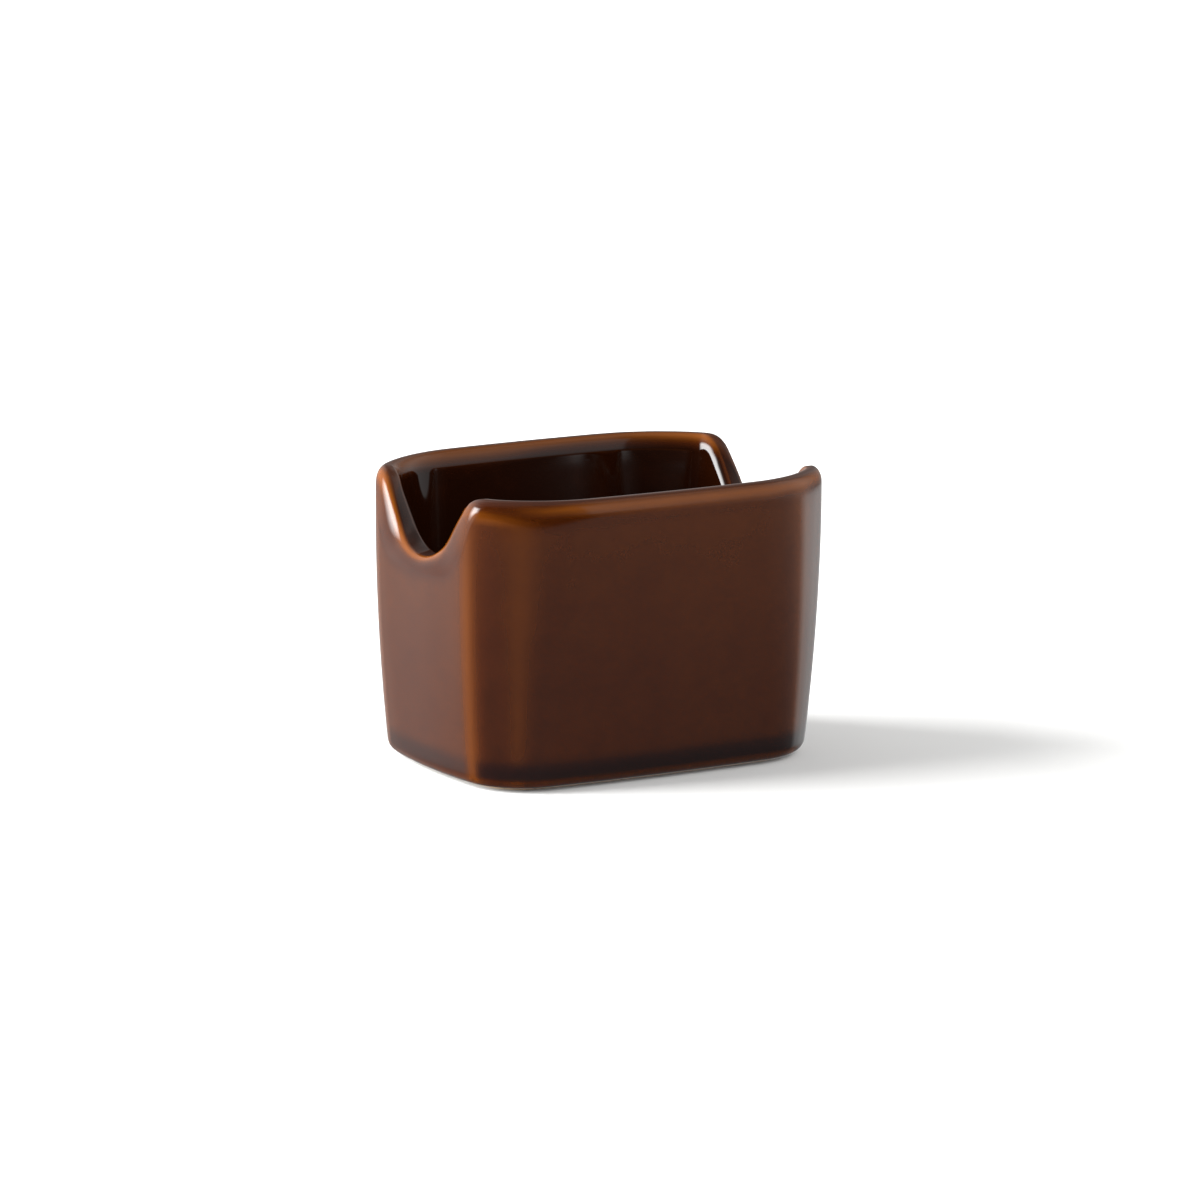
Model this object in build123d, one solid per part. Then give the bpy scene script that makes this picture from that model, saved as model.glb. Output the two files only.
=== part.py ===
from build123d import *
import math
import os

# Sugar packet holder: an open stoneware pot, a rounded rectangle in plan with bowed walls that lean
# outwards, a rounded finger notch in each short end, and a brown glaze over everything but the foot ring.
# Millimetres and degrees. Z is up, X runs along the length, and the origin is the middle of the plane
# that the pot stands on. Sizes are over the glaze unless they say otherwise.

# Rim outline, before the notches are cut and the rim is rounded, and the height of the rim
length = 91.3
width = 69.1
height = 63.5

# How far each end wall and each long wall leans outwards from the base to the rim
end_lean = 2.9
side_lean = 5.3

# How far the walls swell outwards at half height, past the straight line from base to rim
wall_swell = 1.0

# Plan outline: the corners are tighter next to the ends and run into the long walls by a wider shoulder
rim_corner_radius = 14.0
rim_shoulder_radius = 35.2
base_corner_radius = 14.7
base_shoulder_radius = 15.4

# Directions that the wall faces, from the X axis: where the bowed end meets the corner, where the corner
# meets the shoulder, and how far the shoulder stops short of the Y axis, which is the long wall's bow
end_turn = 8.0
corner_turn = 50.0
long_turn = 3.0

# Wall at the rim, floor and their rounded edges; the rim is rounded over, but for a narrow flat on top
wall = 5.0
floor = 5.0
rim_flat = 0.6
bottom_edge_radius = 3.0
well_bottom_radius = 6.0

# Well: how far its ends and its long sides lean outwards from base to rim, how far they bulge inwards at
# half height, and how much tighter its corners and shoulders are in plan than those of the outside, at the
# rim and at the base
well_end_lean = 7.2
well_side_lean = 4.6
well_bulge = 0.4
lip_corner_step = 5.0
lip_shoulder_step = 8.3
well_corner_step = 7.2
well_shoulder_step = 6.3

# Finger notch in each short end: depth below the rim, width between the ears' tops, slope, ear radius
notch_depth = 15.5
notch_width = 43.2
notch_slope = 52.1
ear_radius = 6.4

# Bare foot ring: height below the glaze, distance in from the rounded bottom edge, width, edge radius
foot_height = 0.8
foot_margin = 1.4
foot_width = 4.0
foot_edge_radius = 0.3

# Thickness of the fired glaze
glaze = 0.4

# How far the cutting tools and the untrimmed walls reach past the finished shape
reach = 4.0

# Sizes that follow from those above
rim_radius = (wall - rim_flat) / 2
foot_inset = bottom_edge_radius + foot_margin
lip_corner_radius = rim_corner_radius - lip_corner_step
lip_shoulder_radius = rim_shoulder_radius - lip_shoulder_step
well_corner_radius = base_corner_radius - well_corner_step
well_shoulder_radius = base_shoulder_radius - well_shoulder_step


def bow_radii(half_length, half_width, corner, shoulder):
    """Radii of the bowed end and of the bowed long wall that close a quarter of the plan outline."""
    end_cos = math.cos(math.radians(end_turn))
    end_sin = math.sin(math.radians(end_turn))
    corner_cos = math.cos(math.radians(corner_turn))
    corner_sin = math.sin(math.radians(corner_turn))
    long_cos = math.cos(math.radians(long_turn))
    long_sin = math.sin(math.radians(long_turn))
    left_x = half_length - corner * (end_cos - corner_cos) - shoulder * (corner_cos - long_sin)
    left_y = half_width - corner * (corner_sin - end_sin) - shoulder * (long_cos - corner_sin)
    share = (1 - end_cos) * (1 - long_cos) - long_sin * end_sin
    end_bow = (left_x * (1 - long_cos) - long_sin * left_y) / share
    long_bow = ((1 - end_cos) * left_y - end_sin * left_x) / share
    return end_bow, long_bow


def plan_outline(z, half_length, half_width, corner, shoulder):
    """Closed plan outline at a height: bowed ends and long walls, joined by corners and shoulders."""
    end_bow, long_bow = bow_radii(half_length, half_width, corner, shoulder)

    def next_centre(centre, radius, next_radius, direction):
        step = radius - next_radius
        angle = math.radians(direction)
        return (centre[0] + step * math.cos(angle), centre[1] + step * math.sin(angle))

    end_centre = (half_length - end_bow, 0)
    corner_centre = next_centre(end_centre, end_bow, corner, end_turn)
    shoulder_centre = next_centre(corner_centre, corner, shoulder, corner_turn)
    quarter = [
        (corner_centre, corner, end_turn, corner_turn),
        (shoulder_centre, shoulder, corner_turn, 90 - long_turn),
    ]
    mirrored = [
        ((-x, y), radius, 180 - end, 180 - start)
        for (x, y), radius, start, end in reversed(quarter)
    ]
    back_wall = ((0, half_width - long_bow), long_bow, 90 - long_turn, 90 + long_turn)
    left_end = ((end_bow - half_length, 0), end_bow, 180 - end_turn, 180 + end_turn)
    half = [*quarter, back_wall, *mirrored, left_end]
    turned = [((-x, -y), radius, start + 180, end + 180) for (x, y), radius, start, end in half]
    edges = [CenterArc(centre, radius, start, end - start) for centre, radius, start, end in half + turned]
    return Pos(0, 0, z) * Wire(edges)


def outside_outline(z, inset):
    """Plan outline of the outside at a height, moved in from the glazed surface by an inset."""
    rise = (z - foot_height) / (height - foot_height)
    fall = 1 - rise
    grown = 4 * wall_swell * rise * fall - inset
    half_length = length / 2 - end_lean * fall + grown
    half_width = width / 2 - side_lean * fall + grown
    corner = rim_corner_radius * rise + base_corner_radius * fall + grown
    shoulder = rim_shoulder_radius * rise + base_shoulder_radius * fall + grown
    return plan_outline(z, half_length, half_width, corner, shoulder)


def well_outline(z, skin):
    """Plan outline of the well at a height, moved out from its glazed surface by a skin's thickness."""
    rise = (z - foot_height) / (height - foot_height)
    fall = 1 - rise
    grown = skin - 4 * well_bulge * rise * fall
    half_length = length / 2 - wall - well_end_lean * fall + grown
    half_width = width / 2 - wall - well_side_lean * fall + grown
    corner = lip_corner_radius * rise + well_corner_radius * fall + skin
    shoulder = lip_shoulder_radius * rise + well_shoulder_radius * fall + skin
    return plan_outline(z, half_length, half_width, corner, shoulder)


def lofted(bottom_z, outline_at, offset):
    """Solid from a height to past the rim, through the outlines at three heights."""
    top_z = height + reach
    heights = (bottom_z, (bottom_z + top_z) / 2, top_z)
    return Solid.make_loft([outline_at(z, offset) for z in heights])


def above_rim(skin):
    """Everything over the rim and inside both end notches, along the whole length."""
    slope = math.radians(notch_slope)
    rise = 1 - math.cos(slope)
    ear_y = notch_width / 2
    ear_z = height - ear_radius
    both_radii = (ear_y - notch_depth / math.tan(slope)) * math.sin(slope) / rise
    notch_root_radius = both_radii - ear_radius
    root_z = height - notch_depth + notch_root_radius
    root_radius = notch_root_radius + skin
    top_radius = ear_radius - skin

    def on_root(angle):
        return (root_radius * math.sin(angle), root_z - root_radius * math.cos(angle))

    def on_ear(angle):
        return (ear_y - top_radius * math.sin(angle), ear_z + top_radius * math.cos(angle))

    root_bottom = on_root(0)
    root_end = on_root(slope)
    ear_start = on_ear(slope)
    ear_middle = on_ear(slope / 2)
    ear_end = on_ear(0)

    def mirrored(point):
        return (-point[0], point[1])

    rim_z = height - skin
    side = width / 2 + reach
    top = height + 2 * reach
    edges = [
        Line((side, rim_z), ear_end),
        ThreePointArc(ear_end, ear_middle, ear_start),
        Line(ear_start, root_end),
        ThreePointArc(root_end, root_bottom, mirrored(root_end)),
        Line(mirrored(root_end), mirrored(ear_start)),
        ThreePointArc(mirrored(ear_start), mirrored(ear_middle), mirrored(ear_end)),
        Line(mirrored(ear_end), (-side, rim_z)),
        Line((-side, rim_z), (-side, top)),
        Line((-side, top), (side, top)),
        Line((side, top), (side, rim_z)),
    ]
    profile = Plane.YZ * make_face(edges)
    return extrude(profile, amount=length / 2 + reach, both=True)


def rim_edges(pot):
    """The edges along the outside and the inside of the rim, ears and notches."""
    below_notch = height - notch_depth - reach
    # The upward part of a face's normal: the walls stay under it, and the faces on the rim are over it.
    wall_limit = 0.3
    tops = [
        face
        for face in pot.faces()
        if face.center().Z > below_notch and face.normal_at(face.center()).Z > wall_limit
    ]
    counts = {}
    for face in tops:
        for edge in face.edges():
            counts.setdefault(edge, 0)
            counts[edge] += 1
    return [edge for edge, count in counts.items() if count == 1]


def pot_form(skin):
    """The pot without its foot ring, a skin's thickness inside the glazed surface."""
    bottom_z = foot_height + skin
    outside = lofted(bottom_z, outside_outline, skin)
    outside = fillet(outside.faces().sort_by(Axis.Z)[0].edges(), bottom_edge_radius - skin)
    well = lofted(foot_height + floor - skin, well_outline, skin)
    well = fillet(well.faces().sort_by(Axis.Z)[0].edges(), well_bottom_radius + skin)
    pot = outside - well - above_rim(skin)
    return fillet(rim_edges(pot), rim_radius - skin)


def foot_ring():
    """The flat ring of bare clay that the pot stands on, up to the underside of the clay floor."""
    outer_line = outside_outline(foot_height, foot_inset)
    inner_line = outside_outline(foot_height, foot_inset + foot_width)
    outer = extrude(make_face(outer_line), amount=foot_height + glaze)
    inner = extrude(make_face(inner_line), amount=foot_height + glaze)
    return Pos(0, 0, -foot_height) * (outer - inner)


clay = pot_form(glaze)
ring = foot_ring()
glass = pot_form(0) - clay - ring
patches = sorted(glass.solids(), key=lambda solid: solid.volume)
soft_ring = fillet(ring.faces().sort_by(Axis.Z)[0].edges(), foot_edge_radius)

os.makedirs("parts", exist_ok=True)
export_step(clay + soft_ring, "parts/stoneware_body.step")
export_step(patches[-1], "parts/glaze_coat.step")
export_step(patches[0], "parts/base_glaze.step")
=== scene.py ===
"""A glazed stoneware sugar packet holder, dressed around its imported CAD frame. Lengths are in metres."""

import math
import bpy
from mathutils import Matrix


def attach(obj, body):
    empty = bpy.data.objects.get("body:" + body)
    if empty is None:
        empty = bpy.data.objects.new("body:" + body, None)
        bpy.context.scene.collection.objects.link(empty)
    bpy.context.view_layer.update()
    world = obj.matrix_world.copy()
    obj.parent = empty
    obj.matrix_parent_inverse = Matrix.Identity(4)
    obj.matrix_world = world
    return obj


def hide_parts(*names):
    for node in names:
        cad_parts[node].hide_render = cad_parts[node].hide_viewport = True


bl_info = {
    "name": "Sugar Packet Holder",
    "version": (1, 0, 0),
    "blender": (4, 5, 0),
    "location": "View3D > Sidebar > Sugar Holder",
    "description": "Builds a glazed stoneware sugar packet holder around its CAD frame",
    "category": "Object",
}

from types import SimpleNamespace

import bpy
import numpy as np
from bpy.props import FloatProperty, FloatVectorProperty, PointerProperty
from bpy.types import Operator, Panel, PropertyGroup
from mathutils import Matrix, Vector

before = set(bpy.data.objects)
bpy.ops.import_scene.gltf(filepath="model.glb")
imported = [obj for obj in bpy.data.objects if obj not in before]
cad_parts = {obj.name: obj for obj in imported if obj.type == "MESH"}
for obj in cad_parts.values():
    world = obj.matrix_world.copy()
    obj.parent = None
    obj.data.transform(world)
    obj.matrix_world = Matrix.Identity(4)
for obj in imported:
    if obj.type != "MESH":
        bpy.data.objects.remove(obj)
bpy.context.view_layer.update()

MM = 0.001

# Steps of the glaze mesh around a quarter of the plan: end, corner, shoulder and half of the long wall
END_STEPS = 44
CORNER_STEPS = 26
SHOULDER_STEPS = 26
LONG_STEPS = 18

# Steps of the glaze mesh along its profile, from the foot ring over the rim to the middle of the floor
UNDERSIDE_STEPS = 3
EDGE_STEPS = 10
WALL_STEPS = 44
RIM_STEPS = 10
FLOOR_STEPS = 12
FOOT_STEPS = 4

# Edges of the meshes that turn by more than this stay sharp
SHARP_TURN = math.radians(50)

# Sides of the pot, each as the start and end of a smooth step: the front and the right in millimetres, and
# the ends in degrees from the X axis
FRONT = (0, -20)
RIGHT = (-10, 10)
END = (30, 10)

# Places on the rim, each as the middle and spread of a smooth hump, in millimetres: along the front for the
# crisp corner and the soft place beside it, and across the width for the sides of the notches
CRISP_CORNER = (-41, 5)
SOFT_PLACE = (-32.5, 6)
EAR_SIDE = (15, 7)

# The photograph's size in pixels, which the camera's focal length refers to
IMAGE_PIXELS = 1200


def size(name, description, default_mm):
    """A length property whose default is given in millimetres."""
    return FloatProperty(
        name=name,
        description=description,
        default=default_mm * MM,
        min=0.0,
        precision=5,
        subtype="DISTANCE",
        unit="LENGTH",
    )


def turn(name, description, default_degrees):
    """An angle property whose default is given in degrees."""
    return FloatProperty(
        name=name,
        description=description,
        default=math.radians(default_degrees),
        subtype="ANGLE",
        unit="ROTATION",
    )


def colour(name, description, default):
    """A colour property, in linear red, green and blue."""
    return FloatVectorProperty(
        name=name,
        description=description,
        default=default,
        min=0.0,
        max=1.0,
        size=3,
        subtype="COLOR",
    )


def share(name, description, default):
    """A plain number from 0 to 1."""
    return FloatProperty(
        name=name,
        description=description,
        default=default,
        min=0.0,
        max=1.0,
        subtype="FACTOR",
    )


class HolderShape(PropertyGroup):
    """Sizes of the pot over its glaze."""

    length: size("Length", "Length of the rim outline before the rim is rounded", 91.3)
    width: size("Width", "Width of the rim outline before the rim is rounded", 69.1)
    height: size("Height", "Height of the rim above the table", 63.5)
    end_lean: size("End Lean", "How far each end wall leans out from base to rim", 2.9)
    side_lean: size("Side Lean", "How far each long wall leans out from base to rim", 5.3)
    wall_swell: size("Wall Swell", "How far the walls swell out at half height", 1.0)
    rim_corner: size("Rim Corner", "Plan radius of the corners at the rim", 14.0)
    rim_shoulder: size("Rim Shoulder", "Plan radius of the shoulders at the rim", 35.2)
    base_corner: size("Base Corner", "Plan radius of the corners at the base", 14.7)
    base_shoulder: size("Base Shoulder", "Plan radius of the shoulders at the base", 15.4)
    end_turn: turn("End Turn", "Direction where the bowed end meets the corner", 8.0)
    corner_turn: turn("Corner Turn", "Direction where the corner meets the shoulder", 50.0)
    long_turn: turn("Long Turn", "How far the shoulder stops short of the Y axis", 3.0)
    wall: size("Wall", "Thickness of the walls", 5.0)
    floor: size("Floor", "Thickness of the floor above the foot ring", 5.0)
    rim_flat: size("Rim Flat", "Width of the flat along the top of the rounded rim", 0.6)
    rim_drop_outside: size("Rim Drop Outside", "Height over which the rim rounds into the outside", 3.6)
    rim_sag: size("Rim Sag", "How much further the front rim rounds down near its left end", 1.0)
    corner_crisp: size("Crisp Corner", "How much less the rim rounds down at the front left corner", 1.0)
    ear_sag: size("Ear Sag", "How much further the rim rounds down along the sides of the notches", 3.4)
    rim_drop_inside: size("Rim Drop Inside", "Height over which the rim rounds into the inside", 4.3)
    well_end_lean: size("Well End Lean", "How far each end of the well leans out from base to rim", 7.2)
    well_side_lean: size("Well Side Lean", "How far each side of the well leans out from base to rim", 4.6)
    well_bulge: size("Well Bulge", "How far the sides of the well bulge in at half height", 0.4)
    lip_corner: size("Lip Corner", "Plan radius of the well's corners at the rim", 9.0)
    lip_shoulder: size("Lip Shoulder", "Plan radius of the well's shoulders at the rim", 26.9)
    well_corner: size("Well Corner", "Plan radius of the well's corners at the base", 7.5)
    well_shoulder: size("Well Shoulder", "Plan radius of the well's shoulders at the base", 9.1)
    bottom_edge: size("Bottom Edge", "Radius of the rounded bottom edge", 3.0)
    well_bottom: size("Well Bottom", "Radius between the walls and the floor inside", 6.0)
    notch_depth: size("Notch Depth", "Depth of the finger notches below the rim", 15.5)
    notch_width: size("Notch Width", "Width of the notches between the tops of their ears", 43.2)
    notch_slope: turn("Notch Slope", "Steepness of the sides of the notches", 52.1)
    ear: size("Ear", "Radius of the ears beside the notches", 6.4)
    foot_height: size("Foot Height", "Height of the bare foot ring", 0.8)
    foot_inset: size("Foot Inset", "Distance of the foot ring in from the base outline", 4.4)
    foot_width: size("Foot Width", "Width of the foot ring", 4.0)
    foot_edge: size("Foot Edge", "Radius of the foot ring's edges", 0.3)
    glaze: size("Glaze", "Thickness of the fired glaze", 0.4)
    ripple: size("Ripple", "Depth of the slow waves in the fired glaze", 0.03)


class HolderFinish(PropertyGroup):
    """Colours and gloss of the glaze and of the bare clay."""

    # Also painted shade: besides deeper glaze, this colour darkens the inside of the well in place of the
    # shade that falls there
    deep_and_shaded: colour("Deep Glaze", "Colour of the deep glaze inside the well", (0.0088, 0.0018, 0.0003))
    thick: colour("Thick Glaze", "Colour where the glaze is thick", (0.027, 0.0052, 0.0007))
    broken: colour("Breaking Glaze", "Colour where the glaze starts to thin", (0.060, 0.0145, 0.0012))
    thin: colour("Thin Glaze", "Colour where the glaze is thin over an edge", (0.130, 0.0340, 0.0018))
    # A darker colour for a band low on the outside walls
    low_darkening: colour("Pooled Glaze", "Colour where the glaze has run together", (0.0065, 0.0012, 0.0008))
    gloss: share("Glaze Roughness", "Roughness of the fired glaze", 0.05)
    dullness: share("Glaze Dullness", "How much rougher the glaze is inside the front wall", 0.5)
    index: FloatProperty(
        name="Glaze Index",
        description="Refractive index of the fired glaze",
        default=1.5,
        min=1.0,
    )
    clay: colour("Clay", "Colour of the bare fired clay", (0.420, 0.300, 0.200))
    clay_speck: colour("Clay Speck", "Colour of the iron specks in the clay", (0.120, 0.070, 0.040))
    clay_rough: share("Clay Roughness", "Roughness of the bare fired clay where it is smoothest", 0.75)


class HolderStage(PropertyGroup):
    """Camera, floor and lights."""

    azimuth: turn("Azimuth", "Direction of the camera around the pot, from the front", -30.57)
    elevation: turn("Elevation", "Height of the camera above the horizon", 12.0)
    roll: turn("Roll", "Turn of the camera about its own axis", 0.62)
    distance: size("Distance", "Distance of the camera from the point it looks at", 1566.0)
    aim_height: size("Aim Height", "Height of the point that the camera looks at", 32.15)
    aim_right: size("Aim Right", "How far the camera stands to the right of that point", 0.462)
    aim_up: size("Aim Up", "How far the camera stands above that point", 1.641)
    focal_pixels: FloatProperty(
        name="Focal Length",
        description="Focal length of the camera in pixels of the photograph",
        default=7241.4,
        min=1.0,
    )
    floor_size: size("Floor Size", "Length of each side of the floor", 8000.0)
    floor_colour: colour("Floor Colour", "Colour of the pale floor", (0.88, 0.88, 0.87))


def bell(x, middle, spread):
    """A smooth hump, 1 at the middle and falling off over the spread."""
    return np.exp(-(((x - middle) / spread) ** 2))


def ramp(x, start, end):
    """A smooth step from 0 at the start to 1 at the end, upwards or downwards."""
    t = np.clip((x - start) / (end - start), 0, 1)
    return t * t * (3 - 2 * t)


def outside_sizes(shape, rise, inset):
    """Half length, half width, corner and shoulder radii of the outside, a distance under the glaze."""
    grown = 4 * shape.wall_swell * rise * (1 - rise) - inset
    half_length = shape.length / 2 - shape.end_lean * (1 - rise) + grown
    half_width = shape.width / 2 - shape.side_lean * (1 - rise) + grown
    corner = shape.base_corner + (shape.rim_corner - shape.base_corner) * rise + grown
    shoulder = shape.base_shoulder + (shape.rim_shoulder - shape.base_shoulder) * rise + grown
    return half_length, half_width, corner, shoulder


def well_sizes(shape, rise, inset):
    """The same sizes of the well, at an inset that is a wall's thickness or less."""
    fall = 1 - rise
    bulge = 4 * shape.well_bulge * rise * fall
    half_length = shape.length / 2 - shape.well_end_lean * fall - bulge - inset
    half_width = shape.width / 2 - shape.well_side_lean * fall - bulge - inset
    corner = (shape.lip_corner + shape.wall) * rise + (shape.well_corner + shape.wall) * fall - inset
    shoulder = (shape.lip_shoulder + shape.wall) * rise + (shape.well_shoulder + shape.wall) * fall - inset
    return half_length, half_width, corner, shoulder


def quarter_arcs(shape, sizes, z, inset):
    """Centres and radii of the end, corner, shoulder and long wall of the plan outline, at each height."""
    rise = (z - shape.foot_height) / (shape.height - shape.foot_height)
    half_length, half_width, corner, shoulder = sizes(shape, rise, inset)
    end_cos, end_sin = math.cos(shape.end_turn), math.sin(shape.end_turn)
    corner_cos, corner_sin = math.cos(shape.corner_turn), math.sin(shape.corner_turn)
    long_cos, long_sin = math.cos(shape.long_turn), math.sin(shape.long_turn)
    left_x = half_length - corner * (end_cos - corner_cos) - shoulder * (corner_cos - long_sin)
    left_y = half_width - corner * (corner_sin - end_sin) - shoulder * (long_cos - corner_sin)
    split = (1 - end_cos) * (1 - long_cos) - long_sin * end_sin
    end_bow = (left_x * (1 - long_cos) - long_sin * left_y) / split
    long_bow = ((1 - end_cos) * left_y - end_sin * left_x) / split
    end_x = half_length - end_bow
    corner_x = end_x + (end_bow - corner) * end_cos
    corner_y = (end_bow - corner) * end_sin
    shoulder_x = corner_x + (corner - shoulder) * corner_cos
    shoulder_y = corner_y + (corner - shoulder) * corner_sin
    flat = np.zeros_like(end_x)
    centres_x = np.stack([end_x, corner_x, shoulder_x, flat])
    centres_y = np.stack([flat, corner_y, shoulder_y, half_width - long_bow])
    radii = np.stack([end_bow, corner, shoulder, long_bow])
    return centres_x, centres_y, radii


def plan_points(shape, sizes, facing, z, inset):
    """Points of the plan outline where the wall faces each direction, one height for each."""
    z = np.broadcast_to(np.asarray(z, float), facing.shape)
    centres_x, centres_y, radii = quarter_arcs(shape, sizes, z, inset)
    quarter = np.arctan2(np.abs(np.sin(facing)), np.abs(np.cos(facing)))
    joints = [shape.end_turn, shape.corner_turn, math.pi / 2 - shape.long_turn]
    arc = np.searchsorted(joints, quarter)
    each = np.arange(len(facing))
    radius = radii[arc, each]
    x = np.copysign(centres_x[arc, each] + radius * np.cos(quarter), np.cos(facing))
    y = np.copysign(centres_y[arc, each] + radius * np.sin(quarter), np.sin(facing))
    return x, y


def wall_and_normal(shape, sizes, facing, z, inset):
    """Points on a wall and its outward normals."""
    step = 0.1 * MM

    def support(at):
        x, y = plan_points(shape, sizes, facing, at, inset)
        return x * np.cos(facing) + y * np.sin(facing)

    x, y = plan_points(shape, sizes, facing, z, inset)
    lean = (support(z + step) - support(z - step)) / (2 * step)
    normal = np.stack([np.cos(facing), np.sin(facing), -lean], 1)
    normal /= np.linalg.norm(normal, axis=1, keepdims=True)
    return np.stack([x, y, np.broadcast_to(z, x.shape)], 1), normal


def rim_profile(shape, y, skin):
    """Height and normal of the rim and notches across the width, a skin's thickness under the glaze."""
    slope = shape.notch_slope
    ear_y = shape.notch_width / 2
    ear_z = shape.height - shape.ear
    both = (ear_y - shape.notch_depth / math.tan(slope)) * math.sin(slope) / (1 - math.cos(slope))
    root_z = shape.height - shape.notch_depth + both - shape.ear
    root = both - shape.ear + skin
    ear = shape.ear - skin
    across = np.abs(y)
    root_end = root * math.sin(slope)
    from_ear = ear_y - across
    places = [
        across < root_end,
        from_ear >= ear * math.sin(slope),
        from_ear > 0,
    ]
    heights = [
        root_z - np.sqrt(np.maximum(root**2 - across**2, 0)),
        root_z - root * math.cos(slope) + (across - root_end) * math.tan(slope),
        ear_z + np.sqrt(np.maximum(ear**2 - from_ear**2, 0)),
    ]
    tilts = [
        np.arcsin(np.clip(across / root, 0, 1)),
        np.full_like(across, slope),
        np.arcsin(np.clip(from_ear / ear, -1, 1)),
    ]
    z = np.select(places, heights, shape.height - skin)
    tilt = np.select(places, tilts, 0.0)
    normal = np.stack([np.zeros_like(y), -np.sign(y) * np.sin(tilt), np.cos(tilt)], 1)
    return z, normal


def turned(start, end, share_of_turn, first_size=1.0, second_size=1.0):
    """Vectors part of the way round from one set of directions to another, on a circle or an ellipse."""
    angle = np.arccos(np.clip((start * end).sum(1), -1, 1))[:, None]
    first = first_size * np.sin((1 - share_of_turn) * angle)
    second = second_size * np.sin(share_of_turn * angle)
    return (first * start + second * end) / np.sin(angle)


def end_share(facing):
    """1 along the ends, falling to 0 around the corners, for each direction."""
    start, whole = np.cos(np.radians(END))
    return ramp(np.abs(np.cos(facing)), start, whole)


def rim_drops(shape, facing):
    """Height over which the rim rounds into the outside, for each direction: more where it is softer."""
    x, y = np.array(plan_points(shape, outside_sizes, facing, shape.height, 0.0)) / MM
    end = end_share(facing)
    front = ramp(y, *FRONT)
    drop = shape.rim_drop_outside + shape.ear_sag * bell(np.abs(y), *EAR_SIDE) * end
    drop += shape.rim_sag * bell(x, *SOFT_PLACE) * front
    return drop - shape.corner_crisp * bell(x, *CRISP_CORNER) * front * (1 - end)


def settled(centre_at, target_height, start, rounds=16):
    """Heights up each wall at which the centre of a rounding that touches it is at the target height."""
    z = start.copy()
    for _ in range(rounds):
        centre, _ = centre_at(z)
        z += target_height(centre) - centre[:, 2]
    return z


def pot_rows(shape, facing, skin):
    """Rows of points over the pot, from the foot ring up the outside, over the rim and down to the floor."""
    wall = shape.wall - skin
    rim = (shape.wall - shape.rim_flat) / 2 - skin
    outer_drop = rim_drops(shape, facing) - skin
    inner_drop = shape.rim_drop_inside - skin
    edge = shape.bottom_edge - skin
    well = shape.well_bottom + skin
    bottom_z = shape.foot_height + skin
    floor_z = shape.foot_height + shape.floor - skin
    down = np.tile([0.0, 0.0, -1.0], (len(facing), 1))
    middle = np.full(len(facing), shape.height / 2)

    def outside(z):
        return wall_and_normal(shape, outside_sizes, facing, z, skin)

    def inside(z):
        point, normal = wall_and_normal(shape, well_sizes, facing, z, wall)
        return point, -normal

    def behind(surface, radius):
        def centre_at(z):
            point, normal = surface(z)
            return point - radius * normal, normal
        return centre_at

    def rim_over(centre, drop):
        return rim_profile(shape, centre[:, 1], skin + drop)

    rows = []
    foot_x, foot_y = plan_points(shape, outside_sizes, facing, shape.foot_height, shape.foot_inset)
    foot_line = np.stack([foot_x, foot_y, np.full_like(foot_x, bottom_z)], 1)
    edge_z = settled(behind(outside, edge), lambda centre: bottom_z + edge, middle)
    edge_centre, edge_normal = behind(outside, edge)(edge_z)
    edge_start = edge_centre + edge * down
    for step in range(UNDERSIDE_STEPS):
        rows.append(foot_line + (edge_start - foot_line) * step / UNDERSIDE_STEPS)
    for step in range(EDGE_STEPS):
        rows.append(edge_centre + edge * turned(down, edge_normal, step / EDGE_STEPS))

    rim_z = settled(behind(outside, rim), lambda centre: rim_over(centre, outer_drop)[0], middle)
    for step in range(WALL_STEPS):
        rows.append(outside(edge_z + (rim_z - edge_z) * step / WALL_STEPS)[0])
    rim_centre, rim_side = behind(outside, rim)(rim_z)
    rim_top = rim_over(rim_centre, outer_drop)[1]
    for step in range(RIM_STEPS + 1):
        rows.append(rim_centre + turned(rim_side, rim_top, step / RIM_STEPS, rim, outer_drop[:, None]))

    lip_z = settled(behind(inside, rim), lambda centre: rim_over(centre, inner_drop)[0], middle)
    lip_centre, lip_side = behind(inside, rim)(lip_z)
    lip_top = rim_over(lip_centre, inner_drop)[1]
    for step in range(RIM_STEPS):
        rows.append(lip_centre + turned(lip_top, lip_side, step / RIM_STEPS, inner_drop, rim))

    well_z = settled(behind(inside, -well), lambda centre: floor_z + well, middle)
    well_centre, well_side = behind(inside, -well)(well_z)
    for step in range(WALL_STEPS):
        rows.append(inside(lip_z + (well_z - lip_z) * step / WALL_STEPS)[0])
    for step in range(EDGE_STEPS):
        rows.append(well_centre - well * turned(well_side, -down, step / EDGE_STEPS))
    floor_line = well_centre + well * down
    floor_middle = np.array([0.0, 0.0, floor_z])
    for step in range(FLOOR_STEPS):
        rows.append(floor_line + (floor_middle - floor_line) * step / FLOOR_STEPS)
    return np.array(rows)


def around(shape):
    """Directions that the wall faces, once around, closer together where the plan turns."""
    joints = [0.0, shape.end_turn, shape.corner_turn, math.pi / 2 - shape.long_turn, math.pi / 2]
    steps = [END_STEPS, CORNER_STEPS, SHOULDER_STEPS, LONG_STEPS]
    pieces = [
        np.linspace(start, end, count, endpoint=False)
        for start, end, count in zip(joints, joints[1:], steps)
    ]
    quarter = np.concatenate(pieces)
    mirrored = math.pi - np.concatenate([quarter[1:], [math.pi / 2]])[::-1]
    half = np.concatenate([quarter, mirrored])
    return np.concatenate([half, half + math.pi])


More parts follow.
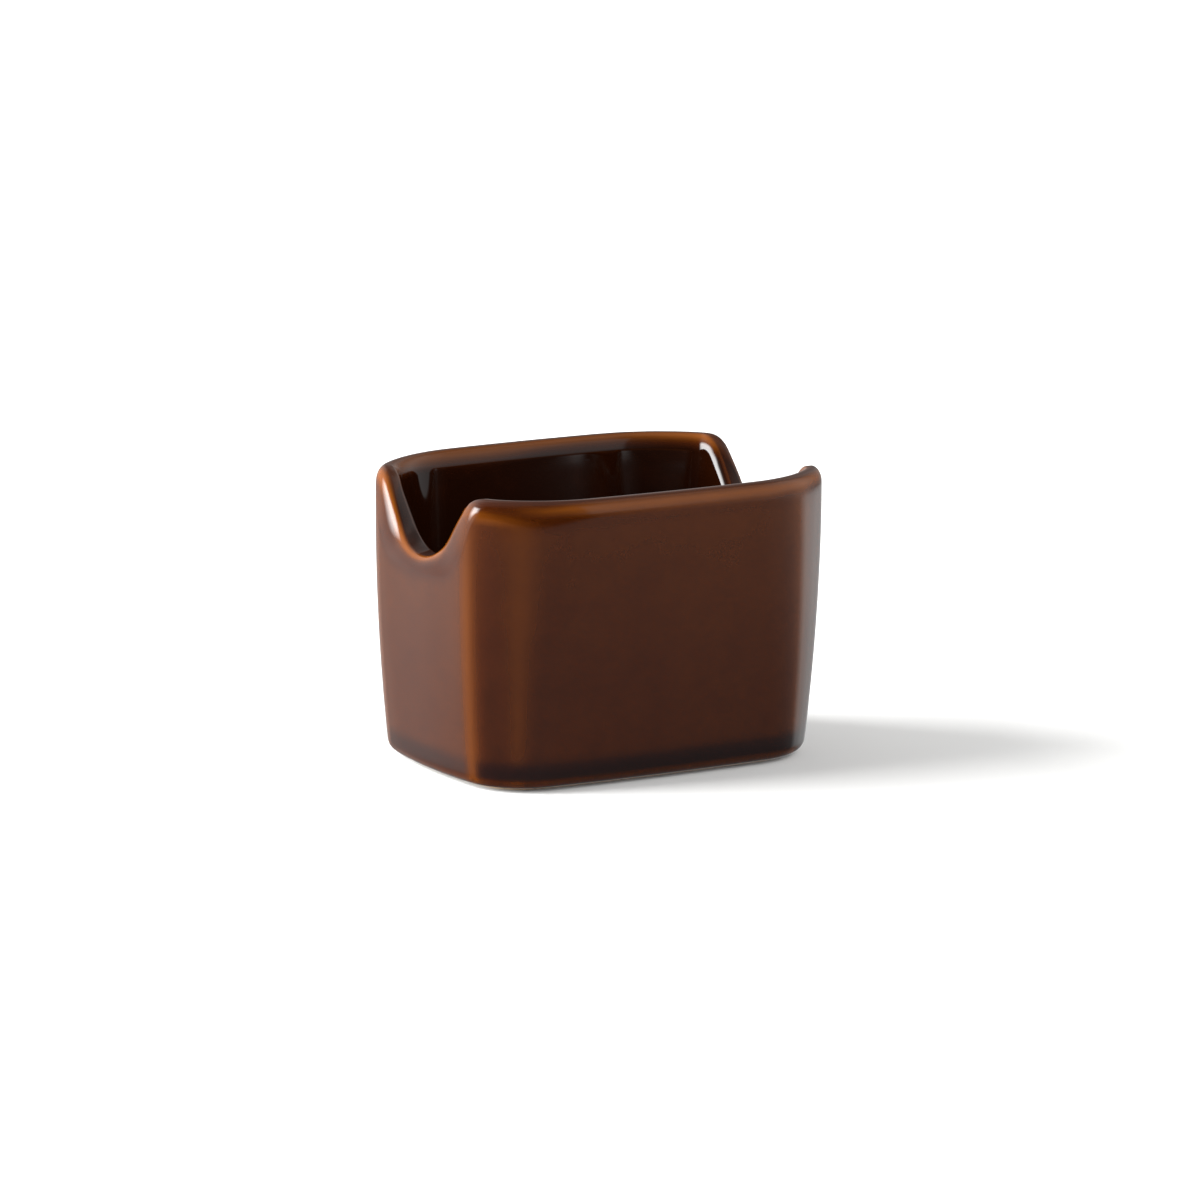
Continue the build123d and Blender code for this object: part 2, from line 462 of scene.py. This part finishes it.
def grid_faces(rows, columns, first):
    """Faces of a grid that closes around, and a fan from its last row to the vertex after the grid."""
    row, column = np.meshgrid(np.arange(rows - 1), np.arange(columns), indexing="ij")
    beside = (column + 1) % columns
    quads = np.stack(
        [
            first + row * columns + column,
            first + row * columns + beside,
            first + (row + 1) * columns + beside,
            first + (row + 1) * columns + column,
        ],
        -1,
    ).reshape(-1, 4)
    last = first + (rows - 1) * columns
    each = np.arange(columns)
    fan = np.stack([last + each, last + (each + 1) % columns, np.full(columns, last + columns)], 1)
    return quads, fan


# Slow waves in the glaze along X, Y and Z: length in millimetres, how far the axis before bends it, the
# length of that bend, and where it starts
RIPPLE_WAVES = [(31, 1.3, 43, 0.6), (27, 1.1, 38, 2.1), (24, 0.9, 35, 4.0)]


def ripple_depth(points):
    """Slow waves between 0 and 1 over the fired glaze."""
    turns = points.T * (2 * math.pi / MM)
    waves = np.zeros(len(points))
    for axis, (length, bend, bend_length, start) in enumerate(RIPPLE_WAVES):
        waves += np.sin(turns[axis] / length + bend * np.sin(turns[axis - 1] / bend_length) + start)
    return 0.5 + waves / (2 * len(RIPPLE_WAVES))


# Lines of the glaze down the walls, in degrees from the X axis: the middle and spread of those where it has
# run off the corners and shoulders and of the darker ones beside them, and how much further round the lines
# of the right shoulders lie
CORNER_LINE = (18, 7.5)
BESIDE_CORNER = (39, 9)
SHOULDER_LINE = 58
SHOULDER_SPREAD = 5.5
SHOULDER_SHIFT = 6
BESIDE_SHOULDER = (71, 5)

# Heights in millimetres where the glaze on the walls changes: the middle and spread of the faint place in the
# lines of the corners, and the start and end of each smooth step
FAINT_CORNER = (54, 7)
UPPER_WALL = (20, 50)
TOP_OF_WALL = (48, 57)
BOTTOM_EDGE = (3.4, 2.4)
LOW_DARK_TOP = (8.2, 5.2)
LOW_DARK_BOTTOM = (2.6, 3.4)

# The start and end of smooth steps across the rim, from 0 where it leaves the outside to 1 at the well
UNDER_RIM = (-0.12, 0)
THICK_FROM = (-0.03, 0.05)
LINES_STOP = (0.3, 0)
OUTER_HALF = (0.5, 0.4)
OUTSIDE = (0, -0.5)
INSIDE = (1.0, 1.2)

# Places along the front rim in millimetres: the middle and spread of the thick place, of the rim's line where
# it is narrow and where it is low, and the start and end of the step where that line fades out
THICK_PLACE = (-33, 6)
NARROW_LINE = (-31, 7)
LOW_LINE = (-42, 5)
LINE_FADES = (-24, -39)

# The low line's height at the crisp corner, its fall along the front and its spread
LOW_HEIGHT = 59.9
LOW_FALL = 0.17
LOW_SPREAD = 1.1

# Where the rim's line grows from the long walls to the corners, in degrees from the X axis, and where the
# inside of the pot turns dull towards the front, in millimetres
LINE_GROWS = (75, 45)
DULL_FRONT = (0, -12)


def glaze_places(facing, rows):
    """Place in millimetres, step across the rim, direction and share of each side, for each point."""
    rim_row = UNDERSIDE_STEPS + EDGE_STEPS + WALL_STEPS
    rim_rows = 2 * RIM_STEPS + 1
    x, y, z = np.moveaxis(rows, 2, 0) / MM
    end = end_share(facing)[None, :]
    return SimpleNamespace(
        x=x,
        y=y,
        z=z,
        rim_step=((np.arange(len(rows)) - rim_row) / rim_rows)[:, None],
        quarter=np.degrees(np.arctan2(np.abs(np.sin(facing)), np.abs(np.cos(facing))))[None, :],
        end=end,
        ear_side=bell(np.abs(y), *EAR_SIDE) * end,
        right=ramp(x, *RIGHT),
        front=ramp(y, *FRONT) * (1 - end),
    )


def wall_thinness(at):
    """How thin the glaze lies on the walls: a slow change upwards, and the lines down the walls."""
    corner = (0.31 - 0.12 * bell(at.z, *FAINT_CORNER)) * bell(at.quarter, *CORNER_LINE)
    shoulder_at = SHOULDER_LINE + SHOULDER_SHIFT * at.right
    shoulder = (0.12 + 0.13 * at.right) * bell(at.quarter, shoulder_at, SHOULDER_SPREAD)
    darker = 0.035 * bell(at.quarter, *BESIDE_CORNER) + 0.02 * bell(at.quarter, *BESIDE_SHOULDER)
    thick_place = bell(at.x, *THICK_PLACE) * at.front * ramp(at.rim_step, *THICK_FROM)
    lines = (corner + shoulder - darker) * ramp(at.rim_step, *LINES_STOP) * (1 - thick_place)
    all_over = 0.12 + 0.03 * at.end + 0.02 * at.right
    upwards = 0.05 * ramp(at.z, *UPPER_WALL) + 0.04 * ramp(at.z, *TOP_OF_WALL)
    bottom_edge = 0.06 * ramp(at.z, *BOTTOM_EDGE)
    under_rim = 0.08 * ramp(at.rim_step, *UNDER_RIM)
    return all_over + lines + upwards + bottom_edge - under_rim


def rim_lines(at):
    """How much thinner the glaze lies along both rounded edges of the rim and over the notches."""
    amount = 0.75 + 0.25 * ramp(at.quarter, *LINE_GROWS) - 0.25 * at.ear_side
    amount *= 1 - at.front * ramp(at.x, *LINE_FADES)
    outer_step = 0.20 + 0.13 * at.end
    outer_spread = 0.13 - 0.055 * at.end - 0.06 * bell(at.x, *NARROW_LINE) * at.front
    outer = amount * bell(at.rim_step, outer_step, outer_spread)
    low_share = bell(at.x, *LOW_LINE) * at.front * ramp(at.rim_step, *OUTER_HALF)
    low_height = LOW_HEIGHT - LOW_FALL * (at.x - CRISP_CORNER[0])
    low = 0.55 * low_share * bell(at.z, low_height, LOW_SPREAD)
    inner = 0.8 * (1 - at.end) * bell(at.rim_step, 0.70 - 0.04 * at.right, 0.15 - 0.04 * at.right)
    notch = 0.3 * at.end * bell(at.rim_step, 0.58, 0.04)
    return outer + low + inner + notch


def deepening_and_shade(at):
    """How far the glaze has deepened towards the well, which starts further out over the notches; inside the
    well this darkening is also painted shade.
    """
    start = 0.75 - 0.35 * at.end - 0.08 * at.ear_side
    reach = 0.25 - 0.1 * at.end
    return ramp(at.rim_step, start, start + reach)


def glaze_lie(facing, rows):
    """How thin, how dark low on the walls and how dull the glaze is at each point of the outer rows, from 0
    to 1.
    """
    at = glaze_places(facing, rows)
    # Towards the well the colour turns deep: deeper glaze, and painted shade inside the well
    thin = np.clip(wall_thinness(at) * (1 - deepening_and_shade(at)) + rim_lines(at), 0, 1)
    # A darker band low on the outside walls, weaker at the ends and on the corner lines
    low_band = ramp(at.z, *LOW_DARK_TOP) * ramp(at.z, *LOW_DARK_BOTTOM) * ramp(at.rim_step, *OUTSIDE)
    low_darkening = low_band * (1 - 0.3 * at.end) * (1 - 0.9 * bell(at.quarter, *CORNER_LINE))
    # The inside of the front wall, which shows only as a faint reflection in the back one
    dull = ramp(at.rim_step, *INSIDE) * ramp(at.y, *DULL_FRONT)
    return thin, low_darkening, dull


def closed_object(name, points, faces):
    """A smooth-shaded mesh object with its sharp edges kept."""
    mesh = bpy.data.meshes.new(name)
    mesh.from_pydata(points.tolist(), [], [face.tolist() for group in faces for face in group])
    if mesh.validate():
        raise RuntimeError(f"{name} had broken faces")
    mesh.polygons.foreach_set("use_smooth", np.ones(len(mesh.polygons), bool))
    mesh.set_sharp_from_angle(angle=SHARP_TURN)
    mesh.update()
    made = bpy.data.objects.new(name, mesh)
    bpy.context.scene.collection.objects.link(made)
    return made


def store(mesh, name, values):
    """Keeps one number for each point of a mesh, for its material to read."""
    kept = mesh.attributes.new(name, "FLOAT", "POINT")
    kept.data.foreach_set("value", np.asarray(values, np.float32))


def build_glaze_coat(shape):
    """The glaze coat as a closed shell: its outer surface, and its inner one against the clay."""
    facing = around(shape)
    columns = len(facing)
    smooth = pot_rows(shape, facing, 0.0)
    inner = pot_rows(shape, facing, shape.glaze)
    rows = len(smooth)
    depth = shape.ripple * ripple_depth(smooth.reshape(-1, 3)).reshape(rows, columns, 1)
    outer = smooth + (inner - smooth) * depth / shape.glaze
    outer[0] = smooth[0]
    outer_middle = outer[-1].mean(0)
    inner_middle = inner[-1].mean(0)
    points = np.concatenate([outer.reshape(-1, 3), [outer_middle], inner.reshape(-1, 3), [inner_middle]])
    second = rows * columns + 1
    outer_quads, outer_fan = grid_faces(rows, columns, 0)
    inner_quads, inner_fan = grid_faces(rows, columns, second)
    each = np.arange(columns)
    beside = (each + 1) % columns
    join = np.stack([beside, each, second + each, second + beside], 1)
    faces = [outer_quads, outer_fan, inner_quads[:, ::-1], inner_fan[:, ::-1], join]
    coat = closed_object("glaze_coat_fired", points, faces)
    hidden = np.zeros(rows * columns + 1)
    for kept, values in zip(("glaze_thin", "glaze_low_dark", "glaze_dull"), glaze_lie(facing, smooth)):
        store(coat.data, kept, np.concatenate([values.ravel(), [values[-1].mean()], hidden]))
    return coat


def build_clay_body(shape):
    """The clay body as a closed shell under the glaze, with its foot ring."""
    facing = around(shape)
    columns = len(facing)
    inner_inset = shape.foot_inset + shape.foot_width
    edge = shape.foot_edge
    recess_z = shape.foot_height + shape.glaze

    def ring_line(inset, z):
        x, y = plan_points(shape, outside_sizes, facing, shape.foot_height, inset)
        return np.stack([x, y, np.full_like(x, z)], 1)

    rows = [ring_line(inner_inset, recess_z)]
    for step in range(FOOT_STEPS + 1):
        angle = math.pi / 2 * step / FOOT_STEPS
        rows.append(ring_line(inner_inset - edge * (1 - math.cos(angle)), edge * (1 - math.sin(angle))))
    for step in range(FOOT_STEPS + 1):
        angle = math.pi / 2 * (1 - step / FOOT_STEPS)
        rows.append(ring_line(shape.foot_inset + edge * (1 - math.cos(angle)), edge * (1 - math.sin(angle))))
    rows = np.concatenate([rows, pot_rows(shape, facing, shape.glaze)])
    floor_middle = rows[-1].mean(0)
    recess_middle = np.array([0.0, 0.0, recess_z])
    points = np.concatenate([rows.reshape(-1, 3), [floor_middle], [recess_middle]])
    quads, fan = grid_faces(len(rows), columns, 0)
    each = np.arange(columns)
    recess = np.stack([(each + 1) % columns, each, np.full(columns, len(points) - 1)], 1)
    return closed_object("clay_body_fired", points, [quads, fan, recess])


def new_material(name):
    """An empty node material with its output node."""
    material = bpy.data.materials.new(name)
    material.use_nodes = True
    tree = material.node_tree
    tree.nodes.clear()
    output = tree.nodes.new("ShaderNodeOutputMaterial")
    return material, tree, output


def add_noise(tree, coordinates, scale, detail, roughness):
    """A noise texture over the pot's own coordinates."""
    noise = tree.nodes.new("ShaderNodeTexNoise")
    noise.inputs["Scale"].default_value = scale
    noise.inputs["Detail"].default_value = detail
    noise.inputs["Roughness"].default_value = roughness
    tree.links.new(coordinates, noise.inputs["Vector"])
    return noise.outputs["Fac"]


def add_attribute(tree, name):
    """The number that a mesh keeps under a name for each of its points."""
    made = tree.nodes.new("ShaderNodeAttribute")
    made.attribute_name = name
    return made.outputs["Fac"]


def add_math(tree, operation, first, second):
    """A math node on two sockets or numbers."""
    made = tree.nodes.new("ShaderNodeMath")
    made.operation = operation
    for socket, value in zip(made.inputs, (first, second)):
        if isinstance(value, (int, float)):
            socket.default_value = value
        else:
            tree.links.new(value, socket)
    return made.outputs["Value"]


def add_swing(tree, noise, amount):
    """Noise as a swing to both sides of 0."""
    return add_math(tree, "MULTIPLY", add_math(tree, "SUBTRACT", noise, 0.5), amount)


def add_ramp(tree, factor, stops):
    """A colour ramp with the given positions and linear colours."""
    made = tree.nodes.new("ShaderNodeValToRGB")
    elements = made.color_ramp.elements
    while len(elements) < len(stops):
        elements.new(0.5)
    for element, (position, value) in zip(elements, stops):
        element.position = position
        element.color = (*value, 1.0)
    tree.links.new(factor, made.inputs["Fac"])
    return made.outputs["Color"]


def add_mix(tree, factor, first, second):
    """A colour mix of a socket towards a socket or a colour."""
    made = tree.nodes.new("ShaderNodeMix")
    made.data_type = "RGBA"
    tree.links.new(factor, made.inputs["Factor"])
    for socket, value in zip((made.inputs[6], made.inputs[7]), (first, second)):
        if isinstance(value, bpy.types.NodeSocket):
            tree.links.new(value, socket)
        else:
            socket.default_value = (*value, 1.0)
    return made.outputs[2]


def add_bump(tree, height, strength, distance):
    """A bump node."""
    made = tree.nodes.new("ShaderNodeBump")
    made.inputs["Strength"].default_value = strength
    made.inputs["Distance"].default_value = distance
    tree.links.new(height, made.inputs["Height"])
    return made.outputs["Normal"]


def add_surface(tree, output, body, rough, normal):
    """A principled shader with the given colour, roughness and normal, joined to the material's output."""
    shader = tree.nodes.new("ShaderNodeBsdfPrincipled")
    tree.links.new(body, shader.inputs["Base Color"])
    tree.links.new(rough, shader.inputs["Roughness"])
    tree.links.new(normal, shader.inputs["Normal"])
    tree.links.new(shader.outputs["BSDF"], output.inputs["Surface"])
    return shader


def glaze_material(finish):
    """Glossy brown glaze that breaks to amber where it thins, darkens in a band low on the walls, and darkens
    inside the well with deeper glaze and painted shade.
    """
    material, tree, output = new_material("brown_breaking_glaze")
    place = tree.nodes.new("ShaderNodeTexCoord").outputs["Object"]
    mottle = add_noise(tree, place, scale=160.0, detail=4.0, roughness=0.55)
    grain = add_noise(tree, place, scale=1500.0, detail=2.0, roughness=0.6)

    thin = add_math(tree, "ADD", add_attribute(tree, "glaze_thin"), add_swing(tree, mottle, amount=0.10))
    thin = add_math(tree, "ADD", thin, add_swing(tree, grain, amount=0.02))
    # The first stop is the deep colour: deeper glaze and painted shade inside the well
    stops = [(0.0, finish.deep_and_shaded), (0.12, finish.thick), (0.4, finish.broken), (1.0, finish.thin)]
    body = add_ramp(tree, thin, stops)
    # Darker in the band low on the outside walls
    body = add_mix(tree, add_attribute(tree, "glaze_low_dark"), body, finish.low_darkening)

    rough = add_math(tree, "ADD", add_math(tree, "MULTIPLY", mottle, 0.02), finish.gloss)
    duller = add_math(tree, "MULTIPLY", add_attribute(tree, "glaze_dull"), finish.dullness)
    rough = add_math(tree, "ADD", rough, duller)
    normal = add_bump(tree, grain, strength=0.015, distance=0.05 * MM)
    shader = add_surface(tree, output, body, rough, normal)
    shader.inputs["IOR"].default_value = finish.index
    return material


def clay_material(finish):
    """Bare fired clay with fine grain and iron specks."""
    material, tree, output = new_material("bare_fired_clay")
    place = tree.nodes.new("ShaderNodeTexCoord").outputs["Object"]
    cloud = add_noise(tree, place, scale=120.0, detail=5.0, roughness=0.6)
    grain = add_noise(tree, place, scale=2600.0, detail=3.0, roughness=0.7)
    speck = add_noise(tree, place, scale=900.0, detail=1.0, roughness=0.5)
    pale = tuple(min(1.0, 1.25 * part) for part in finish.clay)
    body = add_ramp(tree, cloud, [(0.3, finish.clay), (0.7, pale)])
    spots = add_ramp(tree, speck, [(0.68, (0.0, 0.0, 0.0)), (0.74, (0.8, 0.8, 0.8))])
    body = add_mix(tree, spots, body, finish.clay_speck)
    rough = add_math(tree, "ADD", add_math(tree, "MULTIPLY", grain, 0.15), finish.clay_rough)
    normal = add_bump(tree, grain, strength=0.35, distance=0.08 * MM)
    add_surface(tree, output, body, rough, normal)
    return material


def finish_of(name, make, finish):
    """A material by name, made the first time that it is asked for."""
    return bpy.data.materials.get(name) or make(finish)


def dress(piece, material):
    """Gives a piece one material all over."""
    piece.data.materials.clear()
    piece.data.materials.append(material)


class HOLDER_OT_glaze_coat(Operator):
    """Build the fired glaze coat over the walls, rim, notches and well"""

    bl_idname = "holder.glaze_coat"
    bl_label = "Glaze Coat"

    def execute(self, context):
        coat = build_glaze_coat(context.scene.holder_shape)
        dress(coat, finish_of("brown_breaking_glaze", glaze_material, context.scene.holder_finish))
        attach(coat, "root")
        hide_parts("glaze_coat")
        return {"FINISHED"}


class HOLDER_OT_base_glaze(Operator):
    """Give the glazed recess inside the foot ring its glaze"""

    bl_idname = "holder.base_glaze"
    bl_label = "Base Glaze"

    def execute(self, context):
        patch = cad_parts["base_glaze"]
        dress(patch, finish_of("brown_breaking_glaze", glaze_material, context.scene.holder_finish))
        return {"FINISHED"}


class HOLDER_OT_stoneware_body(Operator):
    """Build the fired clay body under the glaze, with its bare foot ring"""

    bl_idname = "holder.stoneware_body"
    bl_label = "Stoneware Body"

    def execute(self, context):
        body = build_clay_body(context.scene.holder_shape)
        dress(body, finish_of("bare_fired_clay", clay_material, context.scene.holder_finish))
        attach(body, "root")
        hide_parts("stoneware_body")
        return {"FINISHED"}


def camera_axes(stage):
    """Right, up and back of the camera."""
    a, e, r = stage.azimuth, stage.elevation, stage.roll
    back = Vector((math.sin(a) * math.cos(e), -math.cos(a) * math.cos(e), math.sin(e)))
    right = Vector((math.cos(a), math.sin(a), 0.0))
    up = back.cross(right)
    rolled_right = math.cos(r) * right + math.sin(r) * up
    rolled_up = math.cos(r) * up - math.sin(r) * right
    return right, up, back, rolled_right, rolled_up


def build_camera(stage):
    """The camera at the photograph's angle."""
    right, up, back, rolled_right, rolled_up = camera_axes(stage)
    data = bpy.data.cameras.new("camera")
    data.sensor_width = 36.0
    data.lens = data.sensor_width * stage.focal_pixels / IMAGE_PIXELS
    data.clip_end = 50.0
    camera = bpy.data.objects.new("camera", data)
    bpy.context.scene.collection.objects.link(camera)
    aim = Vector((0.0, 0.0, stage.aim_height))
    place = aim + back * stage.distance + right * stage.aim_right + up * stage.aim_up
    axes = Matrix((rolled_right, rolled_up, back)).transposed().to_4x4()
    camera.matrix_world = Matrix.Translation(place) @ axes
    bpy.context.scene.camera = camera


def build_floor(stage):
    """A pale floor that is see-through from below and that the glaze doesn't mirror."""
    half = stage.floor_size / 2
    corners = [(-half, -half, 0.0), (half, -half, 0.0), (half, half, 0.0), (-half, half, 0.0)]
    mesh = bpy.data.meshes.new("floor")
    mesh.from_pydata(corners, [], [(0, 1, 2, 3)])
    floor = bpy.data.objects.new("floor", mesh)
    bpy.context.scene.collection.objects.link(floor)
    floor.visible_glossy = False
    material, tree, output = new_material("pale_floor")
    paint = tree.nodes.new("ShaderNodeBsdfDiffuse")
    paint.inputs["Color"].default_value = (*stage.floor_colour, 1.0)
    clear = tree.nodes.new("ShaderNodeBsdfTransparent")
    mixed = tree.nodes.new("ShaderNodeMixShader")
    side = tree.nodes.new("ShaderNodeNewGeometry")
    tree.links.new(side.outputs["Backfacing"], mixed.inputs["Fac"])
    tree.links.new(paint.outputs["BSDF"], mixed.inputs[1])
    tree.links.new(clear.outputs["BSDF"], mixed.inputs[2])
    tree.links.new(mixed.outputs["Shader"], output.inputs["Surface"])
    dress(floor, material)


# Brightness of the studio around the pot by compass direction, clockwise from the back: the table close by
# and further off, the room just over the table's edge, the room at the pot's height, and the room above
NEAR_TABLE = [
    (-180, 0.24), (-60, 0.22), (-30, 0.32), (0, 0.40), (50, 0.20), (72, 0.28), (100, 0.14), (180, 0.24),
]
FAR_TABLE = [
    (-180, 0.27), (-90, 0.30), (-78, 0.40), (-66, 0.70), (-42, 1.20), (-30, 1.00), (-16, 0.60), (10, 0.55),
    (40, 0.60), (60, 0.75), (74, 1.25), (90, 1.50), (100, 0.45), (120, 0.33), (180, 0.27),
]
TABLE_EDGE = [
    (-180, 0.01), (-94, 0.02), (-86, 0.50), (-76, 1.40), (-48, 0.95), (-30, 1.00), (-12, 0.75), (12, 0.50),
    (40, 0.35), (76, 0.40), (90, 0.68), (115, 0.55), (140, 0.50), (158, 0.14), (168, 0.02), (180, 0.01),
]
ROOM_LIGHT = [
    (-180, 0.10), (-150, 0.05), (-100, 0.04), (-66, 0.90), (-42, 1.20), (-12, 1.05), (12, 0.70), (24, 0.22),
    (40, 0.25), (54, 0.50), (76, 0.42), (92, 0.92), (118, 0.74), (164, 0.62), (169, 0.16), (180, 0.10),
]
ROOM_ABOVE = [
    (-180, 0.10), (-110, 0.20), (-70, 0.42), (-40, 0.80), (-10, 0.90), (20, 0.50), (45, 0.18), (85, 0.30),
    (105, 0.60), (130, 0.45), (150, 0.18), (180, 0.10),
]
UNDER_POT = (0.14, 0.14, 0.14)
OVERHEAD = (0.35, 0.35, 0.35)

# Heights in degrees over which each of these takes over, from 0 to 1
UNDER_POT_FROM = [(-48, 1.0), (-30, 0.0)]
FAR_TABLE_FROM = [(-28, 0.0), (-13, 1.0)]
TABLE_EDGE_FROM = [(-10.6, 0.0), (-9.2, 1.0)]
ROOM_LIGHT_FROM = [(1, 0.0), (8, 1.0)]
ROOM_ABOVE_FROM = [(40, 0.0), (52, 1.0)]
OVERHEAD_FROM = [(58, 0.0), (70, 1.0)]

# The large soft light on the left, by compass direction and by height in degrees, and its brightness
KEY_ACROSS = [(-92, 0.0), (-86, 0.5), (-80, 1.0), (-61, 1.0), (-53, 0.5), (-42, 0.0)]
KEY_UP = [(-6, 0.0), (-2.5, 0.5), (2, 1.0), (18, 1.0), (22.5, 0.5), (27, 0.0)]
KEY_BRIGHTNESS = 16.0

# What the camera sees behind the floor
BACKDROP = (1.0, 1.0, 1.0)

# Distance of the fill lights from the pot and their width, in metres
FILL_DISTANCE = 2.0
FILL_WIDTH = 1.6


def compass_stops(pairs):
    """Ramp stops from pairs of a compass direction, in degrees clockwise from the back, and a brightness."""
    return [((direction + 180.0) / 360.0, (value, value, value)) for direction, value in pairs]


def height_stops(pairs):
    """Ramp stops from pairs of a height above the horizon in degrees and a value."""
    return [((math.sin(math.radians(height)) + 1.0) / 2.0, (value, value, value)) for height, value in pairs]


def build_studio():
    """A soft studio around the pot: a bright table, a dark room and a large soft light on the left."""
    world = bpy.data.worlds.new("studio")
    bpy.context.scene.world = world
    world.use_nodes = True
    tree = world.node_tree
    tree.nodes.clear()
    output = tree.nodes.new("ShaderNodeOutputWorld")
    toward = tree.nodes.new("ShaderNodeTexCoord").outputs["Generated"]
    parts = tree.nodes.new("ShaderNodeSeparateXYZ")
    tree.links.new(toward, parts.inputs["Vector"])
    compass = add_math(tree, "ARCTAN2", parts.outputs["X"], parts.outputs["Y"])
    compass = add_math(tree, "ADD", add_math(tree, "DIVIDE", compass, 2 * math.pi), 0.5)
    slope = add_math(tree, "ADD", add_math(tree, "MULTIPLY", parts.outputs["Z"], 0.5), 0.5)

    def by_compass(pairs):
        return add_ramp(tree, compass, compass_stops(pairs))

    def by_height(pairs):
        return add_ramp(tree, slope, height_stops(pairs))

    layers = [
        (UNDER_POT_FROM, UNDER_POT),
        (FAR_TABLE_FROM, by_compass(FAR_TABLE)),
        (TABLE_EDGE_FROM, by_compass(TABLE_EDGE)),
        (ROOM_LIGHT_FROM, by_compass(ROOM_LIGHT)),
        (ROOM_ABOVE_FROM, by_compass(ROOM_ABOVE)),
        (OVERHEAD_FROM, OVERHEAD),
    ]
    around_pot = by_compass(NEAR_TABLE)
    for heights, brightness in layers:
        around_pot = add_mix(tree, by_height(heights), around_pot, brightness)
    key = add_math(tree, "MULTIPLY", by_compass(KEY_ACROSS), by_height(KEY_UP))
    key = add_math(tree, "MULTIPLY", key, KEY_BRIGHTNESS)
    lit = tree.nodes.new("ShaderNodeVectorMath")
    lit.operation = "ADD"
    tree.links.new(around_pot, lit.inputs[0])
    tree.links.new(key, lit.inputs[1])
    rays = tree.nodes.new("ShaderNodeLightPath")
    shown = add_mix(tree, rays.outputs["Is Camera Ray"], lit.outputs["Vector"], BACKDROP)
    background = tree.nodes.new("ShaderNodeBackground")
    tree.links.new(shown, background.inputs["Color"])
    tree.links.new(background.outputs["Background"], output.inputs["Surface"])


def build_fill(name, compass, height, irradiance):
    """A square soft light that brightens the pot and the floor without a reflection of its own."""
    data = bpy.data.lights.new(name, "AREA")
    data.shape = "SQUARE"
    data.size = FILL_WIDTH
    data.energy = irradiance * math.pi * FILL_DISTANCE**2
    light = bpy.data.objects.new(name, data)
    bpy.context.scene.collection.objects.link(light)
    flat = math.cos(math.radians(height))
    toward = Vector((
        math.sin(math.radians(compass)) * flat,
        math.cos(math.radians(compass)) * flat,
        math.sin(math.radians(height)),
    ))
    light.location = toward * FILL_DISTANCE
    light.rotation_mode = "QUATERNION"
    light.rotation_quaternion = toward.to_track_quat("Z", "Y")
    light.visible_glossy = False
    light.visible_camera = False


class HOLDER_OT_stage(Operator):
    """Set up the pale floor, the soft studio, the lights and the camera"""

    bl_idname = "holder.stage"
    bl_label = "Stage"

    def execute(self, context):
        stage = context.scene.holder_stage
        build_floor(stage)
        build_studio()
        build_fill("fill_left", compass=-62.0, height=24.0, irradiance=10.4)
        build_fill("fill_front", compass=165.0, height=30.0, irradiance=2.7)
        build_camera(stage)
        context.scene.view_settings.view_transform = "Standard"
        return {"FINISHED"}


class HOLDER_PT_panel(Panel):
    """Sidebar panel with the settings and the build steps"""

    bl_idname = "HOLDER_PT_panel"
    bl_label = "Sugar Packet Holder"
    bl_space_type = "VIEW_3D"
    bl_region_type = "UI"
    bl_category = "Sugar Holder"

    def draw(self, context):
        for group in (context.scene.holder_shape, context.scene.holder_finish, context.scene.holder_stage):
            box = self.layout.box()
            for name in group.__annotations__:
                box.prop(group, name)
        for step in BUILD_STEPS:
            self.layout.operator(step.bl_idname)


GROUPS = (HolderShape, HolderFinish, HolderStage)
BUILD_STEPS = (HOLDER_OT_stoneware_body, HOLDER_OT_base_glaze, HOLDER_OT_glaze_coat, HOLDER_OT_stage)


def register():
    """Registers the settings, the build steps and the panel."""
    for made in (*GROUPS, *BUILD_STEPS, HOLDER_PT_panel):
        bpy.utils.register_class(made)
    bpy.types.Scene.holder_shape = PointerProperty(type=HolderShape)
    bpy.types.Scene.holder_finish = PointerProperty(type=HolderFinish)
    bpy.types.Scene.holder_stage = PointerProperty(type=HolderStage)


def unregister():
    """Removes what register added."""
    del bpy.types.Scene.holder_stage
    del bpy.types.Scene.holder_finish
    del bpy.types.Scene.holder_shape
    for made in (HOLDER_PT_panel, *reversed(BUILD_STEPS), *reversed(GROUPS)):
        bpy.utils.unregister_class(made)


def main():
    """Builds the pieces and the stage."""
    register()
    bpy.ops.holder.stoneware_body()
    bpy.ops.holder.base_glaze()
    bpy.ops.holder.glaze_coat()
    bpy.ops.holder.stage()


if __name__ == "__main__":
    main()
